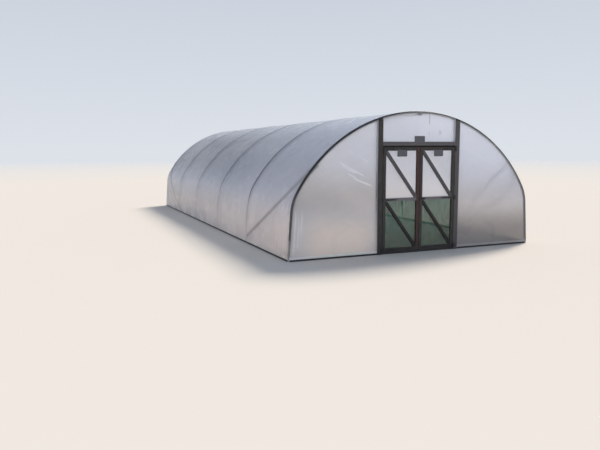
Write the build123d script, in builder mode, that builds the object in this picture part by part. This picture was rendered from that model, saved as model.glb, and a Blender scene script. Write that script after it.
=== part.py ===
"""Polytunnel greenhouse: six steel hoops under one film cover, with a pair of timber doors at each end.

The tunnel runs along Y, its front end faces -Y, and X crosses it. The origin is on the ground, in the
middle of the footprint. Left and right are those of a person who looks at the front end.
"""

import os
from math import asin, cos, degrees, hypot, radians, sin, sqrt, tan

from build123d import *

# Driving dimensions of the tunnel, in millimetres and degrees
bays = 5
bay_length = 2500
shoulder_half_width = 2750  # from the middle to the hoop's centreline at its shoulder
shoulder_height = 860  # centre of the shoulder bend above the ground
shoulder_radius = 800
apex_height = 2790  # hoop's centreline at the ridge
leg_splay = 4.3  # how far the straight legs lean out towards the ground

# Steel tubes: outside diameters, walls and where they start and end
hoop_tube = 50
hoop_wall = 2
hoop_foot_height = 410
ground_tube_wall = 3
ground_tube_height = 600
ridge_tube = 34
ridge_end_inset = 5  # ridge tube's end behind the end hoop's outer side
brace_tube = 32
light_wall = 1.5
brace_foot_height = 170
brace_head_height = 1790
brace_foot_overrun = 45  # brace's ends past the middle of the tubes that they are bolted to
brace_head_overrun = 15

# Film and netting, shown as thin sheets
film_thickness = 3
roof_strips = 5
film_lap_on_rail = 15
panel_lap = 20

# Timber
rail_width = 75
rail_height = 50
post_width = 100
post_depth = 100
post_proud = 15  # post's face in front of the hoop's outer side
doorway_half_width = 850
header_low = 2140
header_height = 75
leaf_thickness = 45
stile_width = 65
top_rail = 70
middle_rail = 60
middle_rail_centre = 1081
bottom_rail = 60
diagonal_width = 60
stop_width = 22
stop_depth = 25
stop_drop = 45

# Ironwork of the doors
strap_length = 320
strap_root = 45
strap_tip = 24
iron_thickness = 3
tee_width = 38
tee_height = 96
knuckle_radius = 6
pin_radius = 3.5
pin_head = 3
latch_length = 120
latch_height = 42
latch_bolt = 12
latch_staple = 8
latch_from_edge = 14
latch_bolt_draw = 6
latch_bolt_sunk = 1  # bolt's side set into the plate
latch_knob = 8

# Clearances
fit = 0.3  # between pieces that are seated on each other
hinge_gap = 8
meeting_gap = 8
leaf_to_header = 30
leaf_to_sill = 8
leaf_to_stop = 5
knuckle_gap = 1
pin_play = 0.1
tube_play = 0.5  # of a ground tube inside a hoop's foot

# The hoop's line: straight leg, shoulder bend and shallow roof bend, each tangent to the next
bend_centre_x = shoulder_half_width - shoulder_radius
rise = apex_height - shoulder_height
roof_radius = (bend_centre_x**2 + rise**2 - shoulder_radius**2) / (2 * (rise - shoulder_radius))
roof_centre_z = apex_height - roof_radius
roof_start = degrees(asin((shoulder_height - roof_centre_z) / (roof_radius - shoulder_radius)))
roof_turn = 180 - 2 * roof_start

# Lengths and offsets that follow from the driving dimensions
ground_tube = hoop_tube - 2 * hoop_wall - 2 * tube_play
tunnel_length = bays * bay_length
hoop_places = [(k - bays / 2) * bay_length for k in range(bays + 1)]
film_inner = hoop_tube / 2 + fit
film_outer = film_inner + film_thickness
hem_height = rail_height - film_lap_on_rail
front_face = -hoop_tube / 2 - post_proud  # depths are counted inwards from the end hoop's plane
post_back = front_face + post_depth
rail_back = rail_width - hoop_tube / 2
post_outer = doorway_half_width + post_width
header_top = header_low + header_height
leaf_low = rail_height + leaf_to_sill
leaf_high = header_low - leaf_to_header
leaf_hinge_edge = doorway_half_width - hinge_gap
leaf_meeting_edge = meeting_gap / 2
leaf_back = front_face + leaf_thickness
lower_panel = (leaf_low + bottom_rail, middle_rail_centre - middle_rail / 2)
upper_panel = (middle_rail_centre + middle_rail / 2, leaf_high - top_rail)
hinge_x = doorway_half_width - hinge_gap / 2
hinge_depth = front_face - knuckle_radius - knuckle_gap
hinge_heights = (leaf_low + bottom_rail / 2, middle_rail_centre, leaf_high - top_rail / 2)


def leg_x(offset, height):
    """How far out the leg's line, moved outwards by the offset, stands at this height."""
    reach = (shoulder_radius + offset) / cos(radians(leg_splay))
    return bend_centre_x + reach + (shoulder_height - height) * tan(radians(leg_splay))


def bend_point(offset, angle):
    """A point of the right shoulder bend, moved outwards by the offset."""
    radius = shoulder_radius + offset
    return (bend_centre_x + radius * cos(radians(angle)), shoulder_height + radius * sin(radians(angle)))


def half_line(offset, foot):
    """Draws the right leg, shoulder and half roof from the foot's height up to the ridge."""
    Line((leg_x(offset, foot), foot), bend_point(offset, leg_splay))
    bend = roof_start - leg_splay
    CenterArc((bend_centre_x, shoulder_height), shoulder_radius + offset, leg_splay, bend)
    CenterArc((0, roof_centre_z), roof_radius + offset, roof_start, roof_turn / 2)


def tunnel_section(offset):
    """The area under the hoop's line, moved outwards by the offset, down to the ground."""
    with BuildSketch() as section:
        with BuildLine():
            half_line(offset, 0)
            mirror(about=Plane.YZ)
            Line((-leg_x(offset, 0), 0), (leg_x(offset, 0), 0))
        make_face()
    return section.sketch


def across(y):
    """The upright plane across the tunnel at this y, with x to the right and z up, facing -Y."""
    return Plane.XZ.offset(-y)


def end_plane(end, depth):
    """The upright plane across one end, seen from outside: end is 1 at the front and -1 at the rear."""
    place = (0, end * (depth - tunnel_length / 2), 0)
    return Plane(origin=place, x_dir=(end, 0, 0), z_dir=(0, -end, 0))


def side_name(end, side):
    """Left or right for a side seen from outside one end: -1 is on the left of someone who faces it."""
    return "left" if end * side < 0 else "right"


def ring(diameter, wall):
    """A tube's section."""
    Circle(diameter / 2)
    Circle(diameter / 2 - wall, mode=Mode.SUBTRACT)


def bar(low, high, bottom, top):
    """A rectangle between two places across and two heights."""
    with Locations(((low + high) / 2, (bottom + top) / 2)):
        Rectangle(high - low, top - bottom)


def save(name, piece):
    """Labels a finished piece and writes its STEP file."""
    piece.part.label = name
    export_step(piece.part, f"parts/{name}.step")


def make_hoop(y):
    """One bent tube, open at both feet."""
    with BuildPart() as hoop:
        with BuildLine(across(y)) as path:
            half_line(0, hoop_foot_height)
            mirror(about=Plane.YZ)
        with BuildSketch(Plane(origin=path.wire() @ 0, z_dir=path.wire() % 0)):
            ring(hoop_tube, hoop_wall)
        sweep(path=path.wire())
    return hoop


def make_ground_tubes(side):
    """A row of anchor tubes, which stand in the ground and up inside the hoops' feet."""
    lean = (-side * sin(radians(leg_splay)), 0, cos(radians(leg_splay)))
    start = -ground_tube  # below the ground, so that the cut there is level
    with BuildPart() as tubes:
        for y in hoop_places:
            with BuildSketch(Plane(origin=(side * leg_x(0, start), y, start), z_dir=lean)):
                ring(ground_tube, ground_tube_wall)
        extrude(amount=(ground_tube_height - start) / cos(radians(leg_splay)))
        split(bisect_by=Plane.XY, keep=Keep.TOP)
    return tubes


def make_ridge_tube():
    """The straight tube that hangs under the hoops' apexes."""
    reach = tunnel_length / 2 + hoop_tube / 2 - ridge_end_inset
    centre = apex_height - hoop_tube / 2 - ridge_tube / 2 - fit
    with BuildPart() as ridge:
        with BuildSketch(across(reach)):
            with Locations((0, centre)):
                ring(ridge_tube, light_wall)
        extrude(amount=2 * reach)
    return ridge


def seat_offset(along, tangent, other_tube):
    """How far inside a hoop's centreline a brace runs to just clear the tube that it crosses."""
    touch = (other_tube + brace_tube) / 2 + fit
    return touch * sqrt(1 - along.dot(tangent) ** 2) / abs(along.Y)


def make_corner_brace(end, side):
    """The sloping tube from a ground tube in the second row to high on the end hoop, inside both."""
    head_x = sqrt(roof_radius**2 - (brace_head_height - roof_centre_z) ** 2)
    head_out = Vector(head_x, 0, brace_head_height - roof_centre_z).normalized()
    head_tangent = Vector(-head_out.Z, 0, head_out.X)
    foot_out = Vector(cos(radians(leg_splay)), 0, sin(radians(leg_splay)))
    foot_tangent = Vector(-foot_out.Z, 0, foot_out.X)
    head = Vector(head_x, 0, brace_head_height)
    foot = Vector(leg_x(0, brace_foot_height), bay_length, brace_foot_height)
    along = (head - foot).normalized()
    head -= head_out * seat_offset(along, head_tangent, hoop_tube)
    foot -= foot_out * seat_offset(along, foot_tangent, ground_tube)
    along = (head - foot).normalized()
    start = foot - along * brace_foot_overrun
    length = (head - foot).length + brace_foot_overrun + brace_head_overrun
    turn = Vector(side, end, 1)
    shift = Vector(0, -end * tunnel_length / 2, 0)
    origin = Vector(start.X * turn.X, start.Y * turn.Y, start.Z) + shift
    direction = Vector(along.X * turn.X, along.Y * turn.Y, along.Z)
    with BuildPart() as brace:
        with BuildSketch(Plane(origin=origin, z_dir=direction)):
            ring(brace_tube, light_wall)
        extrude(amount=length)
    return brace


def make_side_rail(side):
    """The timber rail at the foot of one side, cut to fit between the ground tubes."""
    outer = leg_x(film_inner, rail_height) - fit
    tube_reach = ground_tube / 2 + fit
    corner_reach = rail_back + fit
    with BuildPart() as rail:
        with BuildSketch(Plane.XY):
            for bay in range(bays):
                low = hoop_places[bay] + (corner_reach if bay == 0 else tube_reach)
                high = hoop_places[bay + 1] - (corner_reach if bay == bays - 1 else tube_reach)
                with Locations((side * (outer - rail_width / 2), (low + high) / 2)):
                    Rectangle(rail_width, high - low)
        extrude(amount=rail_height)
    return rail


def make_end_rail(end):
    """The timber rails at the foot of one end, with the sill between the door posts."""
    tube_face = leg_x(0, rail_height) - ground_tube / 2 / cos(radians(leg_splay)) - fit
    sill = doorway_half_width - fit
    with BuildPart() as rail:
        with BuildSketch(end_plane(end, rail_back)):
            bar(-sill, sill, 0, rail_height)
            bar(post_outer + fit, tube_face, 0, rail_height)
            bar(-tube_face, -post_outer - fit, 0, rail_height)
        extrude(amount=rail_width)
    return rail


def make_door_post(end, side):
    """A post from the ground up to the end hoop, with its top cut to the hoop's curve."""
    with BuildPart() as post:
        with BuildSketch(end_plane(end, post_back)):
            add(tunnel_section(-film_inner))
            with Locations((side * (doorway_half_width + post_width / 2), apex_height / 2)):
                Rectangle(post_width, apex_height, mode=Mode.INTERSECT)
        extrude(amount=post_depth)
    return post


def make_door_header(end):
    """The beam over the doors, between the posts."""
    half = doorway_half_width - fit
    with BuildPart() as header:
        with BuildSketch(end_plane(end, post_back)):
            bar(-half, half, header_low, header_top)
        extrude(amount=post_depth)
    return header


def make_door_stop(end):
    """The batten round the back of the doorway, which the leaves close against."""
    half = doorway_half_width - fit
    low = rail_height + fit
    high = header_low - fit
    with BuildPart() as stop:
        with BuildSketch(end_plane(end, leaf_back + leaf_to_stop + stop_depth)):
            bar(-half, half, high - stop_drop, high)
            bar(-half, stop_width - half, low, high)
            bar(half - stop_width, half, low, high)
        extrude(amount=stop_depth)
    return stop


def make_cover_side(side):
    """The cover's film from its hem up the leg and round the shoulder bend."""
    bend = roof_start - leg_splay
    centre = (bend_centre_x, shoulder_height)
    with BuildPart() as sheet:
        with BuildSketch(across(tunnel_length / 2 + film_outer)):
            with BuildLine():
                for offset in (film_inner, film_outer):
                    Line((leg_x(offset, hem_height), hem_height), bend_point(offset, leg_splay))
                    CenterArc(centre, shoulder_radius + offset, leg_splay, bend)
                Line((leg_x(film_inner, hem_height), hem_height), (leg_x(film_outer, hem_height), hem_height))
                Line(bend_point(film_inner, roof_start), bend_point(film_outer, roof_start))
            make_face()
            if side < 0:
                mirror(about=Plane.YZ, mode=Mode.REPLACE)
        extrude(amount=tunnel_length + 2 * film_outer)
    return sheet


def make_roof_strip(strip):
    """One strip of the cover's roof, counted from the right."""
    turn = roof_turn / roof_strips
    start = roof_start + strip * turn
    with BuildPart() as sheet:
        with BuildSketch(across(tunnel_length / 2 + film_outer)):
            with BuildLine():
                inner = CenterArc((0, roof_centre_z), roof_radius + film_inner, start, turn)
                outer = CenterArc((0, roof_centre_z), roof_radius + film_outer, start, turn)
                Line(inner @ 0, outer @ 0)
                Line(inner @ 1, outer @ 1)
            make_face()
        extrude(amount=tunnel_length + 2 * film_outer)
    return sheet


def make_gable_film(end, side):
    """The film between one door post and the end hoop, in front of the hoop."""
    width = leg_x(film_inner, 0) - post_outer
    with BuildPart() as sheet:
        with BuildSketch(end_plane(end, -film_inner)):
            add(tunnel_section(hoop_tube / 2))
            with Locations((side * (post_outer + fit + width / 2), hem_height + apex_height / 2)):
                Rectangle(width, apex_height, mode=Mode.INTERSECT)
        extrude(amount=film_thickness)
    return sheet


def make_transom_film(end):
    """The film over the doors, from the header up to the end hoop."""
    half = doorway_half_width - fit
    with BuildPart() as sheet:
        with BuildSketch(end_plane(end, -film_inner)):
            add(tunnel_section(hoop_tube / 2))
            with Locations((0, header_top + fit + apex_height / 2)):
                Rectangle(2 * half, apex_height, mode=Mode.INTERSECT)
        extrude(amount=film_thickness)
    return sheet


def leaf_panel_edges(side):
    """The two upright edges of a leaf's panels, from left to right as seen from outside."""
    edges = sorted((side * (leaf_meeting_edge + stile_width), side * (leaf_hinge_edge - stile_width)))
    return edges[0], edges[1]


def leaf_diagonal(side, panel):
    """A diagonal let into a panel's top left and bottom right corners."""
    left, right = leaf_panel_edges(side)
    low, high = panel
    length = hypot(right - left, high - low)
    run = diagonal_width / 2 * length / (high - low)
    drop = diagonal_width / 2 * length / (right - left)
    head = [(left, high - drop), (left, high), (left + run, high)]
    foot = [(right, low + drop), (right, low), (right - run, low)]
    Polygon(*head, *foot, align=None)


def make_leaf_frame(end, side):
    """A door leaf's frame: two stiles, three rails and two diagonals."""
    left, right = leaf_panel_edges(side)
    with BuildPart() as frame:
        with BuildSketch(end_plane(end, leaf_back)):
            bar(left - stile_width, right + stile_width, leaf_low, leaf_high)
            for low, high in (lower_panel, upper_panel):
                with Locations(((left + right) / 2, (low + high) / 2)):
                    Rectangle(right - left, high - low, mode=Mode.SUBTRACT)
                leaf_diagonal(side, (low, high))
        extrude(amount=leaf_thickness)
    return frame


def make_leaf_panel(end, side, panel):
    """The sheet fixed to the back of a leaf over one of its panels."""
    left, right = leaf_panel_edges(side)
    low, high = panel
    with BuildPart() as sheet:
        with BuildSketch(end_plane(end, leaf_back + fit + film_thickness)):
            bar(left - panel_lap, right + panel_lap, low - panel_lap, high + panel_lap)
        extrude(amount=film_thickness)
    return sheet


def make_hinges(end):
    """The fixed halves of the tee hinges at one end: plates on the posts, end knuckles and pins."""
    knuckle = tee_height / 3
    with BuildPart() as hinges:
        for side in (-1, 1):
            plate_centre = side * (hinge_x + tee_width / 2)
            with BuildSketch(end_plane(end, front_face - fit)):
                with Locations(*[(plate_centre, height) for height in hinge_heights]):
                    Rectangle(tee_width, tee_height)
            extrude(amount=iron_thickness)
            for height in hinge_heights:
                axis_place = (end * side * hinge_x, end * (hinge_depth - tunnel_length / 2))
                low = height - tee_height / 2
                with BuildSketch(Plane.XY.offset(low)):
                    with Locations(axis_place):
                        Circle(knuckle_radius)
                extrude(amount=tee_height)
                gap_low = height - knuckle / 2 - knuckle_gap
                with BuildSketch(Plane.XY.offset(gap_low)):
                    with Locations(axis_place):
                        Rectangle(4 * knuckle_radius, 4 * knuckle_radius)
                extrude(amount=knuckle + 2 * knuckle_gap, mode=Mode.SUBTRACT)
                with BuildSketch(Plane.XY.offset(low - pin_head)):
                    with Locations(axis_place):
                        Circle(pin_radius)
                extrude(amount=tee_height + 2 * pin_head)
    return hinges


def make_leaf_straps(end, side):
    """The moving halves of one leaf's tee hinges: tapered straps with the middle knuckles."""
    knuckle = tee_height / 3
    root = side * hinge_x
    neck = side * (hinge_x - knuckle_radius - 2 * knuckle_gap)
    tip = side * (hinge_x - strap_length)
    axis_place = (end * side * hinge_x, end * (hinge_depth - tunnel_length / 2))
    with BuildPart() as straps:
        for height in hinge_heights:
            with BuildSketch(end_plane(end, front_face - fit)):
                upper = [(root, knuckle), (neck, knuckle), (neck, strap_root), (tip, strap_tip)]
                corners = [(x, height + width / 2) for x, width in upper]
                corners += [(x, height - width / 2) for x, width in reversed(upper)]
                Polygon(*corners, align=None)
            extrude(amount=iron_thickness)
            with BuildSketch(Plane.XY.offset(height - knuckle / 2)):
                with Locations(axis_place):
                    Circle(knuckle_radius)
            extrude(amount=knuckle)
            with BuildSketch(Plane.XY.offset(height - knuckle / 2)):
                with Locations(axis_place):
                    Circle(pin_radius + pin_play)
            extrude(amount=knuckle, mode=Mode.SUBTRACT)
    return straps


def make_latch(end):
    """The small bolt on the right leaf's middle rail, drawn back: plate, two staples, bolt and knob."""
    start = leaf_meeting_edge + latch_from_edge
    iron_front = front_face - fit - iron_thickness
    bolt_start = start - latch_from_edge + latch_bolt_draw
    bolt_depth = iron_front - latch_bolt / 2 + latch_bolt_sunk
    height = middle_rail_centre
    with BuildPart() as latch:
        with BuildSketch(end_plane(end, front_face - fit)):
            bar(start, start + latch_length, height - latch_height / 2, height + latch_height / 2)
        extrude(amount=iron_thickness)
        with BuildSketch(end_plane(end, iron_front)):
            for centre in (start + 2 * latch_staple, start + latch_length - 2 * latch_staple):
                bar(centre - latch_staple, centre + latch_staple, height - latch_bolt, height + latch_bolt)
        extrude(amount=latch_bolt + iron_thickness)
        bolt_place = (end * bolt_start, end * (bolt_depth - tunnel_length / 2), height)
        with BuildSketch(Plane(origin=bolt_place, z_dir=(end, 0, 0))):
            Circle(latch_bolt / 2)
        extrude(amount=latch_length)
        with BuildSketch(end_plane(end, iron_front)):
            with Locations((start + latch_length / 2, height)):
                Circle(latch_knob / 2)
        extrude(amount=2 * latch_bolt + iron_thickness)
    return latch


os.makedirs("parts", exist_ok=True)

for number, place in enumerate(hoop_places, start=1):
    save(f"hoop_{number}", make_hoop(place))
save("ridge_tube", make_ridge_tube())

for side, name in ((-1, "left"), (1, "right")):
    save(f"ground_tubes_{name}", make_ground_tubes(side))
    save(f"base_rail_{name}", make_side_rail(side))
    save(f"cover_{name}_side", make_cover_side(side))
strip_names = ("right_low", "right_high", "ridge", "left_high", "left_low")
for strip, name in enumerate(strip_names):
    save(f"cover_roof_{name}", make_roof_strip(strip))

for end, end_name in ((1, "front"), (-1, "rear")):
    save(f"base_rail_{end_name}", make_end_rail(end))
    save(f"door_header_{end_name}", make_door_header(end))
    save(f"door_stop_{end_name}", make_door_stop(end))
    save(f"transom_film_{end_name}", make_transom_film(end))
    save(f"hinges_{end_name}", make_hinges(end))
    save(f"latch_{end_name}", make_latch(end))
    for side in (-1, 1):
        place_name = f"{end_name}_{side_name(end, side)}"
        save(f"corner_brace_{end_name}_{'left' if side < 0 else 'right'}", make_corner_brace(end, side))
        save(f"door_post_{place_name}", make_door_post(end, side))
        save(f"gable_film_{place_name}", make_gable_film(end, side))
        save(f"leaf_{place_name}_frame", make_leaf_frame(end, side))
        save(f"leaf_{place_name}_film", make_leaf_panel(end, side, upper_panel))
        save(f"leaf_{place_name}_net", make_leaf_panel(end, side, lower_panel))
        save(f"leaf_{place_name}_straps", make_leaf_straps(end, side))
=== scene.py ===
# %% [markdown]
# # A polytunnel greenhouse
# The tunnel is six steel hoops under one sheet of milky film, with a pair of braced timber doors at
# each end. The steel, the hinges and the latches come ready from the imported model. This lesson adds
# what a solid can't show: film that is stretched, gathered and creased, sawn boards with grain, netting
# and small fasteners. Lengths are metres: x runs across the tunnel, y along it and z up.

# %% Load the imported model
from functools import partial
from math import asin, cos, pi, radians, sin, tan

import bpy
import numpy as np
from mathutils import Matrix, Vector


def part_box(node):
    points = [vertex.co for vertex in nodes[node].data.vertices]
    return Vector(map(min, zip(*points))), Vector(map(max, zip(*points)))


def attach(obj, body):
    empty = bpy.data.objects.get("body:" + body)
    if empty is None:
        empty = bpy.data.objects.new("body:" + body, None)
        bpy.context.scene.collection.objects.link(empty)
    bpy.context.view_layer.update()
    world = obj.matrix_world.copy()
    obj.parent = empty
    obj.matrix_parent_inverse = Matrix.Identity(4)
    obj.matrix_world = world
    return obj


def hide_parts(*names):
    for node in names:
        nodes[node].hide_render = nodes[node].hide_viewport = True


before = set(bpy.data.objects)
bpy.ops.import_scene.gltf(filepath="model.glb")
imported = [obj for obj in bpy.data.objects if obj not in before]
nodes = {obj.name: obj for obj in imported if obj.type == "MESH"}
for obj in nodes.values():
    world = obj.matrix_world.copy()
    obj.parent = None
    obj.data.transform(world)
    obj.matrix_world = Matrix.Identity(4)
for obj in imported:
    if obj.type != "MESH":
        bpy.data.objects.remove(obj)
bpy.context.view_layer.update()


def new_object(name, data):
    """An object in the scene that shows a camera, a lamp or a mesh."""
    made = bpy.data.objects.new(name, data)
    bpy.context.scene.collection.objects.link(made)
    return made


# %% [markdown]
# ## Camera
# The photograph was taken standing up, a few metres in front of the left corner. The place, the lens
# and the three angles were found by fitting a pinhole camera to the hoops' lines, the door posts and
# the header.

# %% Place the camera
IMAGE_WIDTH = 600
SENSOR = 36.0
FOCAL_PIXELS = 595.07
FARTHEST = 400
CAMERA_PLACE = Vector((-6.798, -16.376, 2.075))
CAMERA_TURN, CAMERA_TILT, CAMERA_ROLL = radians(22.603), radians(7.239), radians(-0.268)


def camera_axes(turn, tilt, roll):
    """Right, up and back of a camera that looks along +Y, turned towards +X, tilted down and rolled."""
    forward = Vector((sin(turn) * cos(tilt), cos(turn) * cos(tilt), -sin(tilt)))
    level = Vector((cos(turn), -sin(turn), 0))
    upright = level.cross(forward)
    return cos(roll) * level + sin(roll) * upright, cos(roll) * upright - sin(roll) * level, -forward


lens = bpy.data.cameras.new("camera")
lens.sensor_fit = "HORIZONTAL"
lens.sensor_width = SENSOR
lens.lens = SENSOR * FOCAL_PIXELS / IMAGE_WIDTH
lens.clip_end = FARTHEST
camera = new_object("camera", lens)
axes = camera_axes(CAMERA_TURN, CAMERA_TILT, CAMERA_ROLL)
camera.matrix_world = Matrix.Translation(CAMERA_PLACE) @ Matrix(axes).transposed().to_4x4()
bpy.context.scene.camera = camera
print("lens:", round(lens.lens, 2), "mm")

# %% [markdown]
# ## The hoop's line
# Everything on the tunnel follows one curve: a straight leg that splays a little, a tight shoulder bend
# and a shallow roof bend, each tangent to the next. It is the same curve as in the solids, so it is
# worked out again from the same few measures. A place on it is the distance from the ridge, positive
# to the right, and each place has an outward direction to stand the film off the tubes.

# %% Work out the hoop's line
LENGTH, BAY, BAYS = 12.5, 2.5, 5
SHOULDER_HALF, BEND_HEIGHT, BEND_RADIUS = 2.75, 0.86, 0.8
APEX = 2.79
SPLAY = radians(4.3)
TUBE = 0.025
STAND_OFF = TUBE + 0.001
HEM = 0.035

bend_x = SHOULDER_HALF - BEND_RADIUS
rise = APEX - BEND_HEIGHT
ROOF_RADIUS = (bend_x**2 + rise**2 - BEND_RADIUS**2) / (2 * (rise - BEND_RADIUS))
roof_centre = APEX - ROOF_RADIUS
roof_start = asin((BEND_HEIGHT - roof_centre) / (ROOF_RADIUS - BEND_RADIUS))
ROOF_HALF = ROOF_RADIUS * (pi / 2 - roof_start)
BEND_END = ROOF_HALF + BEND_RADIUS * (roof_start - SPLAY)
leg_top = BEND_HEIGHT + BEND_RADIUS * sin(SPLAY)
HALF_GIRTH = BEND_END + (leg_top - HEM) / cos(SPLAY)
HOOP_NAMES = [f"hoop_{number}" for number in range(1, BAYS + 2)]
HOOP_ROWS = np.arange(BAYS + 1) * BAY - LENGTH / 2


def hoop_line(s):
    """Points (x, z) and outward directions at distances s from the ridge, as two arrays. The roof is an
    arc about a low centre, the shoulder an arc about the bend's centre, and the leg a straight line."""
    s = np.asarray(s, float)
    far, side = np.abs(s), np.sign(s)
    on_roof = far <= ROOF_HALF
    on_bend = np.maximum(roof_start - (far - ROOF_HALF) / BEND_RADIUS, SPLAY)
    angle = np.where(on_roof, pi / 2 - far / ROOF_RADIUS, on_bend)
    out_x, out_z = np.cos(angle), np.sin(angle)
    down = np.maximum(far - BEND_END, 0)
    side_x = bend_x + BEND_RADIUS * out_x + down * sin(SPLAY)
    side_z = BEND_HEIGHT + BEND_RADIUS * out_z - down * cos(SPLAY)
    x = np.where(on_roof, ROOF_RADIUS * out_x, side_x)
    z = np.where(on_roof, roof_centre + ROOF_RADIUS * out_z, side_z)
    return np.stack([x * side, z], -1), np.stack([out_x * side, out_z], -1)


print("girth of the cover:", round(2 * HALF_GIRTH, 3), "m; roof radius:", round(ROOF_RADIUS, 4), "m")

# %% [markdown]
# ## Making meshes from arrays
# A film is a function of two numbers on a grid, and a board is an outline pushed through a thickness.
# Both are worked out as whole arrays and then handed to Blender at once. The UV map holds real metres
# along and across the piece, so that a material can follow the surface at a true scale.

# %% Mesh helpers
rng = np.random.default_rng(7)


def new_piece(name, points, faces, uv, material, body, smooth=True, more=()):
    """A mesh piece from points (n, 3), faces as lists of point numbers and one uv for each corner. More
    UV maps are pairs of a name and their own values."""
    mesh = bpy.data.meshes.new(name)
    mesh.from_pydata(points.tolist(), [], faces)
    for layer, values in (("metres", uv), *more):
        mesh.uv_layers.new(name=layer).data.foreach_set("uv", np.asarray(values, np.float32).ravel())
    mesh.polygons.foreach_set("use_smooth", np.full(len(mesh.polygons), smooth))
    mesh.materials.append(material)
    mesh.validate()
    mesh.update()
    piece = new_object(name, mesh)
    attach(piece, body)
    return piece


def grid_faces(rows, columns):
    """Corner numbers of the squares of a grid, turned so that row cross column points outwards."""
    corner = np.arange(rows * columns).reshape(rows, columns)
    squares = [corner[:-1, :-1], corner[1:, :-1], corner[1:, 1:], corner[:-1, 1:]]
    return np.stack(squares, -1).reshape(-1, 4)


def ring_faces(rings, around):
    """Corner numbers of the squares between closed rings of points, which follow one another."""
    corner = np.arange(rings * around).reshape(rings, around)
    after = np.roll(corner, -1, 1)
    return np.stack([corner[:-1], corner[1:], after[1:], after[:-1]], -1).reshape(-1, 4)


def sheet(name, points, uv, material, body, slot, fold=0.0, hem=0.0, tone=1.0, dust=0.0):
    """A film or netting from a grid of points (rows, columns, 3) and their uv (rows, columns, 2). Two more
    UV maps say how folded it is (0 to 1, with 0.5 for flat) and how doubled or clouded, and the painted
    light and shade of its tone (0.25 to 1.25 as 0 to 1) and its dust with a painted warm light."""
    faces = grid_faces(*points.shape[:2])
    more = []
    for layer, first, second in (("marks", 0.5 + 0.5 * fold, hem), ("tones", tone - 0.25, dust)):
        first, second, _ = np.broadcast_arrays(first, second, points[..., 0])
        more.append((layer, np.clip(np.stack([first, second], -1), 0, 1).reshape(-1, 2)[faces.ravel()]))
    flat_uv = uv.reshape(-1, 2)[faces.ravel()]
    return new_piece(name, points.reshape(-1, 3), faces.tolist(), flat_uv, material, body, more=more)


def ramp(low, high, value):
    """Rises from 0 at low to 1 at high, level at both ends: 3t^2 - 2t^3."""
    t = np.clip((value - low) / (high - low), 0, 1)
    return t * t * (3 - 2 * t)


def streaks(value, wavelengths, seed):
    """A smooth random line from -1 to 1: a sum of sine waves with random phases."""
    phases = np.random.default_rng(seed).uniform(0, 2 * pi, len(wavelengths))
    waves = [np.sin(2 * pi * value / length + phase) for length, phase in zip(wavelengths, phases)]
    return np.mean(waves, 0)


# %% [markdown]
# ## Making materials
# A material is a small graph of nodes. One function adds a node with its settings and links, and one
# turns a colour as it is written on the web into the linear light that Blender mixes.

# %% Material helpers
NOISE_MIDDLE = (0.3, 0.7)
GRAIN_MIDDLE = (0.32, 0.68)

# A Mix node of colours takes the share in its input 0 and the two colours in 6 and 7.
COLOURS = {"data_type": "RGBA"}
TINTED = {**COLOURS, "blend_type": "MULTIPLY"}


def linear(colour):
    """The linear red, green, blue and alpha of an sRGB hex value such as 8A8F99."""
    parts = np.array([int(colour[i:i + 2], 16) / 255 for i in (0, 2, 4)])
    light = np.where(parts <= 0.04045, parts / 12.92, ((parts + 0.055) / 1.055) ** 2.4)
    return (*light.tolist(), 1.0)


def add_node(tree, kind, *inputs, out=None, **settings):
    """Adds a node and gives its first output in use, or those that out names. An operation may follow the
    kind, and other settings are attributes. Inputs go by order, or by the names or numbers of a dictionary,
    and each is a value, a hex colour or another node's output."""
    kind, *operation = kind.split()
    made = tree.nodes.new("ShaderNode" + kind)
    for name, value in (*settings.items(), *[("operation", word) for word in operation]):
        setattr(made, name, value)
    by_name = inputs and isinstance(inputs[0], dict)
    for place, value in inputs[0].items() if by_name else enumerate(inputs):
        if isinstance(value, bpy.types.NodeSocket):
            tree.links.new(value, made.inputs[place])
        else:
            made.inputs[place].default_value = linear(value) if isinstance(value, str) else value
    if isinstance(out, tuple):
        return [made.outputs[name] for name in out]
    return made.outputs[out] if out else next((socket for socket in made.outputs if socket.enabled), None)


def new_material(name):
    """An empty material, and the function that adds nodes to it."""
    material = bpy.data.materials.new(name)
    material.use_nodes = True
    material.node_tree.nodes.clear()
    return material, partial(add_node, material.node_tree)


def finish_with(material, surface):
    """Links the last shader to the material's output."""
    add_node(material.node_tree, "OutputMaterial", surface)
    return material


def finish_opaque(material, colour, rough, ior, height, depth, strength):
    """Finishes a material that light doesn't go through, with a fine relief as a bump."""
    add = partial(add_node, material.node_tree)
    bump = add("Bump", {"Height": height, "Distance": depth, "Strength": strength})
    settings = {"Base Color": colour, "Roughness": rough, "IOR": ior, "Normal": bump}
    return finish_with(material, add("BsdfPrincipled", settings))
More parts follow.
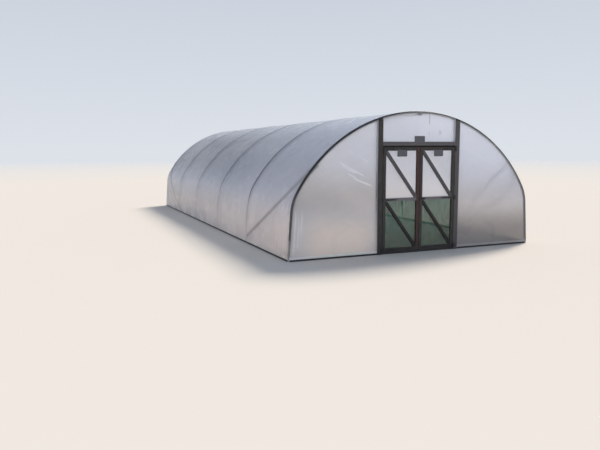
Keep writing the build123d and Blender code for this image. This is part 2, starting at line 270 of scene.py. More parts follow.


# %% [markdown]
# ## Film
# The cover is polythene film, blown and about 0.2 mm thick, with tiny air cells that make it milky. Light
# that goes through is spread by a few degrees, so a tube right behind it shows crisp, a brace a hand's
# breadth in shows soft, and what is further in is lost. The rest is scattered every way, or sent back by
# a thin gloss and a whiteness that grow as the film is seen edge on. So the surface mixes Translucent,
# Principled and rough Refraction. One refraction that bends light a little in and one that bends it as
# much out blur evenly to both sides. Folds and hems are whiter, partly as doubled film and partly as a
# painted highlight, wave crests are painted lighter and troughs darker, dust with a painted warm light
# warms the foot, and painted light and shade vary the film's tone. The piece's own UV maps give these.
# Fine waves are a bump, because they are finer than the mesh. The cover also has painted shade of its
# tubes: a dark line where it lies on a hoop, and the soft shade of each corner brace.

# %% Film material
# The dust colour is that of dust and of a painted warm light, low on the cover and on the left end film.
WHITENED, EDGE_ON, DUST_AND_WARM_LIGHT, HAZE = "F2F3F5", "DCE3F0", "F8E8DA", "F4F6FA"
FILM_IOR, FILM_HAZE = 1.51, 0.9
SHADE_HEAD = np.array([2.343, 6.270, 1.732])
SHADE_FOOT = np.array([2.829, 3.806, 0.192])
SHADE_WAY = np.array([-0.403, -0.915, -0.031])
HOOP_FOOT = 0.41
LINE_SOFT, ROLL_SOFT = (0.038, 0.026), (LENGTH / 2 - 0.016, LENGTH / 2 - 0.006)
SHADE_SOFT, SHADE_DARK = (0.042, 0.012), 0.54


def hoop_painted_shade(add, y, s):
    """Painted shade where the cover lies on the hoops and each tube blocks the light from inside: dark lines
    from the distance to the nearest hoop along the tunnel. They are narrower on the end hoops, where the
    film rolls over the tube, and paler below the shoulders, where the film stands off."""
    along = add("Math ADD", y, LENGTH / 2 + BAY)
    gap = add("Math PINGPONG", along, BAY / 2)
    line = add("MapRange", gap, *LINE_SOFT)
    from_middle = add("Math ABSOLUTE", y)
    at_end_hoop = add("Math GREATER_THAN", from_middle, LENGTH / 2 - 0.1)
    rolled = add("MapRange", from_middle, *ROLL_SOFT)
    line = add("Mix", {0: at_end_hoop, 2: line, 3: rolled})
    far = add("Math ABSOLUTE", s)
    shade_strength = add("MapRange", far, BEND_END - 0.45, BEND_END + 0.15, 1.0, 0.22)
    foot = HALF_GIRTH - (HOOP_FOOT - HEM)
    kept = add("MapRange", far, foot, foot + 0.03, 0.72, 0.25)
    kept = add("Math MULTIPLY", kept, at_end_hoop)
    shade_strength = add("Math MAXIMUM", shade_strength, kept)
    return add("Math MULTIPLY", line, shade_strength)


def brace_marks(add):
    """Soft shades of the corner braces. Each lies where the film meets the plane through the shade's two
    ends and the way it falls: the distance from that plane is the dot product with its normal. Absolute
    values repeat one corner at all four, and the shade fades out past its ends."""
    normal = np.cross(SHADE_WAY, SHADE_FOOT - SHADE_HEAD)
    normal /= np.linalg.norm(normal)
    corner = add("VectorMath ABSOLUTE", add("TexCoord", out="Object"))
    off = add("VectorMath DOT_PRODUCT", corner, normal.tolist())
    off = add("Math SUBTRACT", off, float(normal @ SHADE_HEAD))
    off = add("Math ABSOLUTE", off)
    shade = add("MapRange", off, *SHADE_SOFT, 0.0, SHADE_DARK)
    y, z = add("SeparateXYZ", corner, out=("Y", "Z"))
    in_bay = add("MapRange", y, SHADE_FOOT[1] - 0.1, SHADE_FOOT[1])
    low = add("MapRange", z, SHADE_HEAD[2] + 0.1, SHADE_HEAD[2] - 0.05)
    shade = add("Math MULTIPLY", shade, in_bay)
    return add("Math MULTIPLY", shade, low)


def make_film(name, through, milk, clear, bend, wave_along, wave_size, wave_depth, tubes=False):
    """Milky film: through is the colour of scattered light, milk that of the light sent back, clear the
    share that passes with a slight turn, bend that turn's IOR, and wave_along the stretch of the fine
    waves along the sheet."""
    film, add = new_material(name)
    place = add("UVMap", uv_map="metres")
    fold, doubled = add("SeparateXYZ", add("UVMap", uv_map="marks"), out=("X", "Y"))
    painted_light_and_shade, dust_and_warm_light_share = add("SeparateXYZ", add("UVMap", uv_map="tones"), out=("X", "Y"))
    stretch = add("Mapping", {"Vector": place, "Scale": (1.0, wave_along, 1.0)})
    fine = {"Vector": stretch, "Scale": 1 / wave_size, "Detail": 3.0, "Roughness": 0.55}
    waves = add("TexNoise", fine)
    cloud = add("TexNoise", {"Vector": place, "Scale": 1.3, "Detail": 2.0, "Roughness": 0.5})
    bump = add("Bump", {"Height": waves, "Distance": wave_depth, "Strength": 1.0})

    # Light that comes through: brighter on folds, hems and wave crests, partly as painted light, warmer with
    # dust and painted warm light, and scaled by the painted light and shade of the tones and of the tubes.
    plain = add("Mix", {0: cloud, 6: through[0], 7: through[1]}, **COLOURS)
    plain = add("Mix", {0: dust_and_warm_light_share, 6: plain, 7: DUST_AND_WARM_LIGHT}, **COLOURS)
    lift = add("MapRange", fold, 0.0, 1.0, 0.70, 1.30)
    tone = add("MapRange", painted_light_and_shade, 0.0, 1.0, 0.25, 1.25)
    if tubes:
        # Painted shade of the hoops and the corner braces, which block the light from inside.
        split = add("SeparateXYZ", place, out=("X", "Y"))
        marks = add("Math MAXIMUM", hoop_painted_shade(add, *split), brace_marks(add))
        tube_shade_factor = add("MapRange", marks, 0.0, 1.0, 1.0, 0.1)
        tone = add("Math MULTIPLY", tone, tube_shade_factor)
    lift = add("Math MULTIPLY", lift, tone)
    scattered = add("Mix", {0: 1.0, 6: plain, 7: lift}, clamp_result=True, **TINTED)
    glow = add("BsdfTranslucent", {"Color": scattered, "Normal": bump})

    # Light that is sent back: whiter on folds, hems and wave crests, partly as painted light, warmer with
    # dust and painted warm light, paler edge on, and scaled by the painted light and shade of the tones.
    whiter = add("MapRange", fold, 0.5, 1.0)
    back = add("Mix", {0: whiter, 6: milk, 7: WHITENED}, **COLOURS)
    back = add("Mix", {0: dust_and_warm_light_share, 6: back, 7: DUST_AND_WARM_LIGHT}, **COLOURS)
    edge_on = add("LayerWeight", 0.5, out="Facing")
    paler = add("MapRange", edge_on, 0.6, 0.95)
    back = add("Mix", {0: paler, 6: back, 7: EDGE_ON}, **COLOURS)
    back = add("Mix", {0: 1.0, 6: back, 7: tone}, clamp_result=True, **TINTED)
    rough = add("MapRange", cloud, *NOISE_MIDDLE, 0.2, 0.34)
    settings = {"Base Color": back, "Roughness": rough, "IOR": FILM_IOR, "Normal": bump}
    front = add("BsdfPrincipled", settings)

    # More is sent back edge on and where the film is doubled, and less goes clear through there.
    share = add("MapRange", edge_on, 0.6, 1.0, 0.38, 0.85)
    share = add("Math MULTIPLY_ADD", doubled, 0.3, share)
    milky = add("MixShader", share, glow, front)
    haze = [
        add("BsdfRefraction", {"Color": HAZE, "IOR": ior, "Roughness": FILM_HAZE})
        for ior in (bend, 1 / bend)
    ]
    hazy = add("MixShader", 0.5, *haze)
    share = add("MapRange", doubled, 0.0, 1.0, 1 - clear, 0.99)
    return finish_with(film, add("MixShader", share, hazy, milky))


# The cover's film is darker and bluer than the whiter film of the ends and doors: a painted cool shade on
# the cover and a painted light on the ends and doors.
cover_film = make_film(
    "milky_polythene_stretched_painted_cool_shade", ("B2C1E0", "C0CDEB"), "B9C4D8", 0.28, 1.08, 0.12, 0.05, 0.0009, tubes=True
)
gathered_film = make_film(
    "milky_polythene_gathered_painted_light", ("F2F0EF", "FBF8F4"), "E2E2E3", 0.30, 1.06, 0.3, 0.05, 0.0014
)
door_film = make_film("milky_polythene_flat_painted_light", ("F5F0EA", "FCF8F0"), "E1DDD9", 0.28, 1.05, 1.0, 0.12, 0.001)
print("made", cover_film.name, gathered_film.name, door_film.name)

# %% [markdown]
# ## The cover
# One sheet goes over all six hoops and is fixed along the foot of both sides. It touches the hoops and
# runs nearly straight from one to the next, a little slack on the sunny right side, where it bellies out.
# Below the shoulders it stands off the legs on its way to the rail, so the legs show paler there. At both
# ends it rolls round the outer hoop. The grid is the distance from the ridge by the place along y. The
# film has a painted sheen near the ridge, painted light below the shoulders, dust with a painted warm
# light at its foot, and painted shade towards the rear.

# %% Build the cover
ACROSS_STEPS, BAY_STEPS, ROLL_STEPS = 148, 110, 5
BELLY_RIGHT, PULL_LEFT = 0.022, -0.010
LEG_STAND = 0.034
HEM_WIDTH, HEM_EDGE = 0.05, 0.01
GATHER_HEIGHT, GATHER_FADE = 0.0012, 0.22
FINE_HEIGHT, FINE_LENGTHS = 0.0007, (0.31, 0.19, 0.13, 0.083)


def end_gather(s, y):
    """Depth of the shallow waves that run round the arch near both end hoops, where film is gathered."""
    near_end = np.exp(-(LENGTH / 2 - np.abs(y)) / GATHER_FADE)
    return near_end * streaks(s, (0.11, 0.17, 0.073), 3) * GATHER_HEIGHT


def cover_offset(s, y):
    """How far the film lies outside the hoop's line: its stand-off, plus a half sine wave in each bay,
    plus a bow outwards below the shoulders, plus fine streaks that run from ridge to hem."""
    far = np.abs(s)
    in_bay = np.sin(pi * np.mod((y + LENGTH / 2) / BAY, 1))
    to_right = ramp(0.9, 2.6, s) * (1 - ramp(BEND_END, HALF_GIRTH, s))
    over_left = (1 - ramp(-0.5, 1.2, s)) * (1 - ramp(ROOF_HALF - 0.4, BEND_END, -s))
    belly = in_bay * (BELLY_RIGHT * to_right + PULL_LEFT * over_left)
    down = np.clip((far - BEND_END + 0.12) / (HALF_GIRTH - 0.03 - BEND_END + 0.12), 0, 1)
    off_end = ramp(0.05, 0.8, LENGTH / 2 - np.abs(y))
    stand = LEG_STAND * np.sin(pi * down) * off_end
    low = 0.25 + 0.75 * ramp(1.2, ROOF_HALF, far)
    fine = streaks(y + 0.05 * np.sin(s * 1.7), FINE_LENGTHS, 5) * FINE_HEIGHT * low * np.sqrt(in_bay)
    free = 1 - ramp(HALF_GIRTH - 0.12, HALF_GIRTH - 0.02, far)
    return STAND_OFF + (belly + stand + fine + end_gather(s, y)) * free


def cover_points():
    """The cover's grid: over the length at the film's offset, and round each end hoop by a quarter turn,
    where the offset is the stand-off times the cosine and the place past the hoop its sine."""
    s = np.linspace(-HALF_GIRTH, HALF_GIRTH, ACROSS_STEPS + 1)[:, None]
    y = np.linspace(-LENGTH / 2, LENGTH / 2, BAYS * BAY_STEPS + 1)[None, :]
    turn = np.linspace(pi / 2, 0, ROLL_STEPS + 1)[None, :-1]
    offset = cover_offset(s, y)
    first, last = offset[:, :1], offset[:, -1:]
    offset = np.hstack([first * np.cos(turn), offset, last * np.cos(turn[:, ::-1])])
    past = STAND_OFF * np.sin(turn)
    y = np.hstack([-LENGTH / 2 - past, y, LENGTH / 2 + past[:, ::-1]]) + 0 * s
    centre, out = hoop_line(s[:, 0])
    flat = centre[:, None, :] + out[:, None, :] * offset[..., None]
    points = np.stack([flat[..., 0], y, flat[..., 1]], -1)
    uv = np.stack([y, s + 0 * y], -1)
    return points, uv


points, uv = cover_points()
along, far = uv[..., 0], np.abs(uv[..., 1])
# The fine streaks and the gathers are painted lighter on their crests and darker in their troughs; the hem
# is whiter as doubled film.
wave_painted_light = 0.06 * streaks(along, FINE_LENGTHS, 5) * ramp(1.2, BEND_END, far)
wave_painted_light = wave_painted_light + 0.25 * end_gather(uv[..., 1], along) / GATHER_HEIGHT
doubled = ramp(HALF_GIRTH - HEM_WIDTH - HEM_EDGE, HALF_GIRTH - HEM_WIDTH, far)
# Dust with a painted warm light at the foot, and painted light and shade in the tone: painted light below
# the shoulders, a painted sheen near the ridge and painted shade towards the rear.
dust = 0.95 * (1 - ramp(0.35, 1.9, points[..., 2])) ** 1.3
foot = 1 - ramp(1.0, 1.85, points[..., 2])
ridge_painted_sheen = 1 - ramp(1.0, 1.9, far)
rear = ramp(-LENGTH / 2 - 1, 1, points[..., 1])
tone = 0.82 + 0.44 * foot + 0.25 * ridge_painted_sheen - 0.24 * rear * (1 - 0.6 * foot) - 0.2 * dust
cover = sheet(
    "cover_film", points, uv, cover_film, "tunnel", "film",
    fold=wave_painted_light + 0.9 * doubled, hem=doubled, tone=tone, dust=dust,
)
strips = ("left_low", "left_high", "ridge", "right_high", "right_low")
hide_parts("cover_left_side", "cover_right_side", *[f"cover_roof_{part}" for part in strips])
print("cover:", points.shape, "points; quads:", len(cover.data.polygons))

# %% [markdown]
# ## The films of the ends
# At each end the film is drawn in from the outer hoop to the door post. The way round the hoop is longer
# than the post is tall, so the spare film makes fine gathers square to the hoop, and long creases where
# it is pulled hardest. Lines are carried from the hoop to the post: one number says how far up both, the
# other how far along the line. The waves need each point's place along the hoop and its distance from it.

# %% Find places from the hoop
DOORWAY, POST = 0.85, 0.10
POST_OUTER = DOORWAY + POST
HEADER_TOP = 2.215
SEAT = 0.0003
TUCK = 0.004
TOUCHING = TUBE + 0.0006
ENDS = (("front", 1), ("rear", -1))
SIDES = (-1, 1)

# Beside each doorway: its name, the end, and the side as someone outside that end sees it (-1 is left).
# Left and right in a name are those of someone who faces the front end, also at the rear.
CORNERS = [
    (f"{end_name}_{'left' if end * side < 0 else 'right'}", end, side)
    for end_name, end in ENDS for side in SIDES
]


def at_end(end, x, lift, z):
    """Points (x, y, z) from places seen from outside an end: lift is how far outside the hoop's plane."""
    x, lift, z = np.broadcast_arrays(x, lift, z)
    return np.stack([end * x, -end * (LENGTH / 2 + lift), z], -1)


def from_hoop(x, z):
    """Distance from the ridge along the hoop's line and distance inwards from it, for a point of the end:
    polar about the roof's centre, then polar about the bend's centre, then square to the leg."""
    x, up = np.abs(x), z - BEND_HEIGHT
    past = x - bend_x
    turn, bend = np.arctan2(z - roof_centre, x), np.arctan2(up, past)
    down = past * sin(SPLAY) - up * cos(SPLAY)
    on_roof, on_bend = turn >= roof_start, down < 0
    roof = ROOF_RADIUS * (pi / 2 - turn), ROOF_RADIUS - np.hypot(x, z - roof_centre)
    shoulder = ROOF_HALF + BEND_RADIUS * (roof_start - bend), BEND_RADIUS - np.hypot(past, up)
    leg = BEND_END + down, BEND_RADIUS - (past * cos(SPLAY) + up * sin(SPLAY))
    return [np.where(on_roof, r, np.where(on_bend, b, g)) for r, b, g in zip(roof, shoulder, leg)]


print("place of the shoulder's middle:", [round(float(v), 3) for v in from_hoop(2.6, 1.3)])

# %% Build the end films
UP_STEPS, IN_STEPS = 400, 56
GATHER_REACH, GATHER_DEPTH, GATHER_LENGTHS = 0.30, 0.0024, (0.061, 0.083, 0.0523)
PULL_DEPTH, PULL_LENGTHS = 0.0035, (0.53, 0.34, 0.22, 0.151)
SUNK, SETTLED = -0.0008, 0.0004
CREASE_WHITE_AND_HIGHLIGHT = 220

# The left end film's long creases: start, end, height and half width.
CREASES = (
    ((-1.62, 2.055), (-1.17, 1.83), 0.009, 0.013),
    ((-1.53, 2.00), (-1.30, 1.90), 0.006, 0.011),
    ((-1.79, 1.84), (-1.25, 1.56), 0.010, 0.014),
    ((-1.72, 1.76), (-1.42, 1.61), 0.004, 0.011),
    ((-1.50, 1.53), (-1.07, 1.36), 0.009, 0.014),
    ((-1.62, 1.62), (-1.40, 1.52), 0.004, 0.011),
    ((-2.676, 0.95), (-2.730, 0.10), 0.005, 0.012),
    ((-2.615, 0.90), (-2.650, 0.22), 0.004, 0.010),
    ((-2.550, 1.00), (-2.575, 0.35), 0.003, 0.010),
)


def crease(x, z, start, end, height, width):
    """A crease: a bell across a straight line, tapered to nothing at both ends."""
    start, end = np.array(start), np.array(end)
    length = np.linalg.norm(end - start)
    along = (end - start) / length
    run = (x - start[0]) * along[0] + (z - start[1]) * along[1]
    away = (x - start[0]) * along[1] - (z - start[1]) * along[0]
    return height * np.sin(pi * np.clip(run / length, 0, 1)) ** 0.7 * np.exp(-((away / width) ** 2))


def end_film_places(side):
    """The grid of one end film: rows go up the hoop and the post, columns from the hoop to the post."""
    up = np.linspace(0, 1, UP_STEPS + 1)
    top = ROOF_RADIUS * asin(POST_OUTER / ROOF_RADIUS)
    centre, out = hoop_line(HALF_GIRTH + (top - HALF_GIRTH) * up)
    rim = centre + out * TUCK
    rim[-1, 0] = POST_OUTER
    low, high = rim[0, 1], rim[-1, 1]
    post = np.stack([np.full(UP_STEPS + 1, POST_OUTER + SEAT), low + (high - low) * up**1.15], -1)
    inward = (np.linspace(0, 1, IN_STEPS + 1) ** 1.2)[None, :, None]
    flat = rim[:, None, :] * (1 - inward) + post[:, None, :] * inward
    area = float(np.abs(np.trapz(rim[:, 0] - POST_OUTER, rim[:, 1])))
    size = (float(rim[:, 0].max()) - POST_OUTER, float(high - low))
    return side * flat[..., 0], flat[..., 1], size, area


def end_film_painted_light(x, z, side):
    """Painted light and shade, painted warmth and cloudiness of an end film. The left one is paler and
    warmer low down, in a rounded painted warm reflection, with painted shade in a band above it and
    painted light near its top. The right one has painted shade towards its foot. Both are clouded there,
    so that less shows through."""
    if side > 0:
        low = 1 - ramp(0.35, 1.0, z)
        return 1.2 - 0.58 * (1 - ramp(1.0, 2.1, z)) - 0.35 * low, 0 * z, 0.6 * low
    warm_painted_reflection = np.exp(-(((x + 1.7) / 0.85) ** 4) - ((z - 0.1) / 0.72) ** 4)
    grey = np.exp(-(((z - 1.2) / 0.35) ** 2))
    high = ramp(1.5, 2.1, z)
    return 0.92 + 0.17 * warm_painted_reflection - 0.3 * grey + 0.2 * high, warm_painted_reflection, 0.8 * warm_painted_reflection


def build_end_film(corner, end, side):
    """Lift of one end film: gathers that fade inwards, slow waves from pulling, and the creases."""
    x, z, size, area = end_film_places(side)
    s, inward = from_hoop(x, z)
    to_post = np.abs(x) - POST_OUTER
    seed = 11 + 2 * end + side
    high = 0.25 + 0.75 * (1 - ramp(ROOF_HALF - 0.5, BEND_END + 0.2, s))
    high = high * (1.0 if side > 0 else 0.55)
    near = np.exp(-inward / GATHER_REACH) * ramp(0.005, 0.06, inward)
    near = near * (1 - ramp(0.45, 0.7, inward))
    gathers = near * high * GATHER_DEPTH * streaks(s, GATHER_LENGTHS, seed)
    slow = ramp(0.05, 0.5, inward) * ramp(0, 0.25, to_post)
    pulls = slow * PULL_DEPTH * streaks(z + 0.45 * np.abs(x), PULL_LENGTHS, seed + 5)
    folds = sum(crease(x, z, *line) for line in CREASES) if side < 0 else 0
    free = ramp(0, 0.04, inward) * ramp(0, 0.02, to_post) * ramp(0.05, 0.12, z)
    lift = STAND_OFF + SETTLED * (1 - free) + (gathers + np.maximum(pulls + folds, SUNK)) * free
    points, uv = at_end(end, x, np.maximum(lift, TOUCHING), z), np.stack([s, inward], -1)
    hem = 1 - ramp(HEM + HEM_WIDTH - HEM_EDGE, HEM + HEM_WIDTH, z)
    # Gathers and pulls are painted lighter on their crests and darker in their troughs, and creases and hem
    # whiter, partly as doubled film and partly as a painted highlight.
    fold = 0.8 * gathers / GATHER_DEPTH + 0.1 * pulls / PULL_DEPTH + CREASE_WHITE_AND_HIGHLIGHT * folds + 0.9 * hem
    tone, dust, clouded = end_film_painted_light(x, z, side)
    # Painted shade along the rim, where the end hoop behind the film blocks the light, and a painted
    # highlight on the hem and the creases.
    tone = tone * (0.35 + 0.65 * ramp(0.004, 0.012, inward))
    tone = tone + 0.2 * hem + 0.25 * np.clip(CREASE_WHITE_AND_HIGHLIGHT * folds, 0, 1)
    grids = [points, uv, fold, np.maximum(hem, clouded), tone, dust]
    if side < 0:
        grids = [grid[::-1] for grid in grids]
    piece = sheet(f"end_film_{corner}", *grids[:2], gathered_film, "tunnel", "film", *grids[2:])
    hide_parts(f"gable_film_{corner}")
    return piece, size, area


for place in CORNERS:
    piece, size, area = build_end_film(*place)
    print(piece.name, "flat size", np.round(size, 3), "m, area", round(area, 3), "m2")

# %% [markdown]
# ## The film over the doors
# A small sheet closes the space between the header and the hoop. It is nearly flat, painted lighter all
# over, with one upright fold a little right of the middle whose painted shadow is deepest near the hoop,
# a painted shade of a small three-cornered crease beside it, and a painted shade where the clamp of the
# ridge tube lies behind the film.

# %% Build the films over the doors
OVER_ACROSS, OVER_UP = 120, 40
OVER_WAVE, OVER_LENGTHS = 0.0022, (0.41, 0.27, 0.163)
FOLD_X = 0.205
CLAMP_SHADE = (-0.012, 2.752)


def three_cornered(x, z, left, middle, wide, half):
    """1 inside a triangle that stands on its left side and points right, and 0 outside: its half height
    falls evenly from half to nothing over its width. Its edges are soft."""
    room = half * (1 - (x - left) / wide) - np.abs(z - middle)
    return ramp(0, 0.015, x - left) * ramp(0, 0.015, room)


def build_over_door(end_name, end):
    """Upright straight lines from the header to the hoop, with shallow waves and one upright fold."""
    even = np.linspace(-DOORWAY + SEAT, DOORWAY - SEAT, OVER_ACROSS + 1)
    fine = FOLD_X + np.linspace(-0.02, 0.02, 17)
    x = np.unique(np.round(np.concatenate([even, fine]), 5))[:, None]
    up = np.linspace(0, 1, OVER_UP + 1)[None, :]
    low = HEADER_TOP + SEAT
    top = roof_centre + np.sqrt((ROOF_RADIUS + TUCK) ** 2 - x**2)
    z = low + (top - low) * up
    free = ramp(0, 0.12, up) * ramp(0, 0.12, 1 - up)
    waves = streaks(x + 0.06 * up, OVER_LENGTHS, 31) * OVER_WAVE
    away = x - FOLD_X - 0.02 * (z - low)
    fold = 0.006 * np.exp(-((away / 0.007) ** 2)) - 0.002 * np.exp(-(((away - 0.012) / 0.006) ** 2))
    lift = STAND_OFF + np.maximum(waves * free, -0.001) + fold * (0.3 + 0.7 * free)
    points = at_end(end, x, np.maximum(lift, TOUCHING), z)
    uv = np.stack([x + 0 * z, z], -1)
    # Painted shadow along the fold, deepest near the hoop, painted shade of a small three-cornered crease,
    # and painted shade of the ridge clamp behind the film; the sheet is painted lighter all over.
    fold_shadow = 0.65 * ramp(0.33, 0.37, z - low) + 0.4 * np.exp(-(((z - low - 0.17) / 0.03) ** 2))
    dark = (0.15 + fold_shadow) * np.exp(-((away / 0.010) ** 2))
    dark = dark + 0.3 * three_cornered(x, z, 0.44, 2.398, 0.10, 0.076)
    clamp = ((x - CLAMP_SHADE[0]) / 0.062) ** 4 + ((z - CLAMP_SHADE[1]) / 0.016) ** 2
    tone = 1.2 - (dark + 0.6 * np.exp(-clamp))
    # The waves are painted lighter on their crests and darker in their troughs.
    over_wave_painted_light = 0.2 * waves / OVER_WAVE
    piece = sheet(f"over_door_film_{end_name}", points, uv, gathered_film, "tunnel", "film", over_wave_painted_light, tone=tone)
    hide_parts(f"transom_film_{end_name}")
    size = (float(x[-1, 0] - x[0, 0]), float(top.max() - low))
    area = float(np.trapz(top[:, 0] - low, x[:, 0]))
    return piece, size, area


for end_name, end in ENDS:
    piece, size, area = build_over_door(end_name, end)
    print(piece.name, "flat size", np.round(size, 3), "m, area", round(area, 3), "m2")

# %% [markdown]
# ## Sawn boards
# Posts, header, rails and door leaves are sawn softwood, stained dark by its treatment. A board is an
# outline on the end's plane pushed through a depth, with its edges broken by a small chamfer. The UV map
# runs along each board's grain and starts at a random place, so that no two boards share a pattern.

# %% Sawn timber material
WOOD_IOR = 1.5
GRAIN_DEPTH = 0.0006


def make_timber(name, dark, light, red, grey):
    """Stained sawn softwood: long growth lines along the grain, saw marks across it, and weathered tones.
    A board's own tones, in a second UV map, add to its red stain and to its weathering to grey. Below 0
    the grey darkens the board instead."""
    wood, add = new_material(name)
    place = add("UVMap", uv_map="metres")
    long_way = add("Mapping", {"Vector": place, "Scale": (1.0, 22.0, 1.0)})
    growth = {"Vector": long_way, "Scale": 5.0, "Detail": 5.0, "Roughness": 0.6, "Distortion": 0.4}
    rings = add("TexNoise", growth)
    fibres = add("Mapping", {"Vector": place, "Scale": (6.0, 260.0, 1.0)})
    fine = add("TexNoise", {"Vector": fibres, "Scale": 3.0, "Detail": 2.0})
    slow = add("TexNoise", {"Vector": place, "Scale": 0.6, "Detail": 1.0})
    teeth = {"Vector": place, "Scale": 26.0, "Distortion": 2.5, "Detail": 2.0}
    saw = add("TexWave", teeth, out="Fac", wave_type="BANDS", bands_direction="X")
    own_red, own_grey = add("SeparateXYZ", add("UVMap", uv_map="tones"), out=("X", "Y"))

    base = add("MapRange", rings, *GRAIN_MIDDLE)
    base = add("Mix", {0: base, 6: dark, 7: light}, **COLOURS)
    warm = add("MapRange", slow, 0.5, 0.66)
    warm = add("Math MULTIPLY_ADD", warm, 0.12, own_red)
    worn = add("Math MULTIPLY_ADD", rings, 0.6, 0.7)
    worn = add("Math MULTIPLY", worn, own_grey)
    tinted = add("Mix", {0: warm, 6: base, 7: red}, **COLOURS)
    tinted = add("Mix", {0: worn, 6: tinted, 7: grey}, **COLOURS)
    shade = add("MapRange", fine, *NOISE_MIDDLE, 0.75, 1.15)
    undarkened = add("MapRange", own_grey, -1.0, 0.0, 0.3, 1.0)
    shade = add("Math MULTIPLY", shade, undarkened)
    colour = add("Mix", {0: 1.0, 6: tinted, 7: shade}, **TINTED)
    rough = add("MapRange", rings, *NOISE_MIDDLE, 0.86, 0.68)
    height = add("Math MULTIPLY_ADD", saw, 0.35, fine)
    return finish_opaque(wood, colour, rough, WOOD_IOR, height, GRAIN_DEPTH, 0.8)


timber = make_timber("stained_sawn_softwood", "272524", "4C4947", "52302B", "77767A")
print("made", timber.name)

# %% Board helpers
CHAMFER = 0.002


def inset(outline, by):
    """A convex outline (n, 2), anticlockwise, moved inwards: each corner goes along its edges' bisector."""
    ahead = np.roll(outline, -1, 0) - outline
    normal = np.stack([-ahead[:, 1], ahead[:, 0]], -1) / np.linalg.norm(ahead, axis=1)[:, None]
    before = np.roll(normal, 1, 0)
    return outline + by * (normal + before) / (1 + (normal * before).sum(1))[:, None]


def board(outline, front, back, grain, edge=CHAMFER):
    """Points (x, depth, z), faces and uv of one chamfered board. The outline is (n, 2) and anticlockwise
    seen from outside the end, and grain is the direction of its length."""
    outline = np.asarray(outline, float)
    n = len(outline)
    small = inset(outline, edge)
    rings = [(small, front), (outline, front + edge), (outline, back - edge), (small, back)]
    points = np.concatenate([np.insert(ring, 1, depth, axis=1) for ring, depth in rings])
    around = np.arange(n)
    faces = [around.tolist(), *ring_faces(4, n).tolist(), (3 * n + around[::-1]).tolist()]
    grain = np.array(grain, float) / np.linalg.norm(grain)
    cross = np.array([-grain[1], grain[0]])
    start = rng.uniform(0, 40, 2)
    flat = points[:, [0, 2]]
    along = flat @ grain + start[0]
    wide = flat @ cross + points[:, 1] + start[1]
    return points, faces, np.stack([along, wide], -1)


def bar(low, high, bottom, top):
    """The outline of an upright rectangle, anticlockwise seen from outside."""
    return [(low, bottom), (high, bottom), (high, top), (low, top)]


def end_boards(name, end, body, boards, replaced):
    """Joins boards into one piece at one end: depths count inwards from the end hoop's plane. A board's
    tones say how red (0 to 1) and how grey (0 to 1, or darker below 0) it is."""
    points, faces, uvs, tones, count = [], [], [], [], 0
    for outline, front, back, grain, tone in boards:
        p, f, uv = board(outline, front, back, grain)
        faces += [[corner + count for corner in face] for face in f]
        uvs += [uv[corner] for face in f for corner in face]
        tones += [tone] * sum(len(face) for face in f)
        points.append(p)
        count += len(p)
    x, depth, z = np.concatenate(points).T
    placed = at_end(end, x, -depth, z)
    more = [("tones", tones)]
    piece = new_piece(name, placed, faces, uvs, timber, body, smooth=False, more=more)
    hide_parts(replaced)
    apart = np.abs(np.array([placed.min(0), placed.max(0)]) - np.array(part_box(replaced))).max()
    print(name, len(boards), "boards; box within", round(float(apart) * 1000, 2), "mm of its solid")


# %% [markdown]
# ## The door frames
# Each end has two posts that stand on the ground and reach the hoop, cut there to its curve, a header
# between them and rails at the foot. All the boards are butted with hairline joints.

# %% Build the door frames
POST_FRONT, POST_BACK = -0.040, 0.060
RAIL_FRONT, RAIL_BACK = -0.025, 0.050
RAIL_HEIGHT = 0.05
HEADER_LOW = 2.14
FOOT_TUBE = 0.0225
UPRIGHT, LEVEL = (0, 1), (1, 0)
PLAIN, WORN, GREYED, VERY_WORN = (0.0, 0.0), (0.0, 0.35), (0.0, 0.5), (0.0, 0.85)
RED, DARKENED = (0.55, 0.0), (0.0, -0.7)


def post_outline(side):
    """A post's outline, with its top along the underside of the hoop."""
    left, right = sorted((side * DOORWAY, side * POST_OUTER))
    x = np.linspace(right, left, 9)
    top = roof_centre + np.sqrt((ROOF_RADIUS - TUBE - SEAT) ** 2 - x**2)
    return [(left, 0), (right, 0), *zip(x.tolist(), top.tolist())]


def leg_at(height):
    """How far out the leg's centreline is at a height."""
    return bend_x + BEND_RADIUS / cos(SPLAY) + (BEND_HEIGHT - height) * tan(SPLAY)


half = DOORWAY - SEAT
reach = leg_at(RAIL_HEIGHT) - FOOT_TUBE / cos(SPLAY) - SEAT
spans = [(-half, half), (POST_OUTER + SEAT, reach), (-reach, -POST_OUTER - SEAT)]
header = (bar(-half, half, HEADER_LOW, HEADER_TOP), POST_FRONT, POST_BACK, LEVEL, GREYED)
rails = [(bar(*span, 0, RAIL_HEIGHT), RAIL_FRONT, RAIL_BACK, LEVEL, PLAIN) for span in spans]
for end_name, end in ENDS:
    for corner, at, side in CORNERS:
        if at == end:
            post = (post_outline(side), POST_FRONT, POST_BACK, UPRIGHT, PLAIN if side < 0 else WORN)
            end_boards(f"post_{corner}", end, "tunnel", [post], f"door_post_{corner}")
    end_boards(f"header_{end_name}", end, "tunnel", [header], f"door_header_{end_name}")
    end_boards(f"foot_rails_{end_name}", end, "tunnel", rails, f"base_rail_{end_name}")

# %% [markdown]
# ## The door leaves
# A leaf is two stiles, three rails and two diagonals that fall from left to right. The rails are cut
# between the stiles and the diagonals between the rails, so every board is its own prism here and the
# joints show as fine lines.

